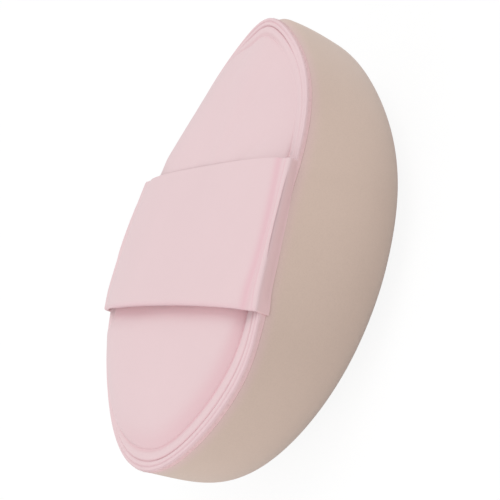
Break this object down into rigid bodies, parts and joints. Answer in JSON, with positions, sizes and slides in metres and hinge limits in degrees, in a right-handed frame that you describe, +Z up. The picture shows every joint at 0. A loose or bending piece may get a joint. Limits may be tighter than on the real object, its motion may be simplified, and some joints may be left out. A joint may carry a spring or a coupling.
{
  "type": "makeup puff",
  "caption": "Domed sponge makeup puff with a narrow tip, a crowned leather back and a flat finger band across it.",
  "frame": {"origin": "on the floor, under the middle of the outline, with the application face down", "axes": "+X across the width, along the finger band; +Y along the length towards the narrow tip; +Z up, out of the back"},
  "size_m": [0.0584, 0.0804, 0.0281],
  "materials": {
    "sponge": "soft fine-celled sponge, matte",
    "film": "thin clear-white film",
    "foam": "open foam",
    "wadding": "thin wadding",
    "leather": "smooth soft synthetic leather, satin matte",
    "binding": "pressed synthetic leather edge, slightly napped",
    "ribbon": "smooth synthetic leather band, satin",
    "lining": "fine woven tape"
  },
  "bodies": {
    "pad": {"applicator_skin": "sponge", "barrier_film": "film", "foam_core": "foam", "back_wadding": "wadding", "back_cover": "leather", "edge_binding": "binding", "band_end_right": "ribbon", "band_end_left": "ribbon"},
    "band": {"finger_band": "ribbon", "band_lining": "lining"}
  },
  "joints": [
    {"name": "band_lift", "type": "slide", "parent": "pad", "child": "band", "axis": [0, 0, 1], "range_m": [0, 0.006], "stiffness_N_per_m": 60, "deforming": ["band_end_right", "band_end_left"]}
  ]
}
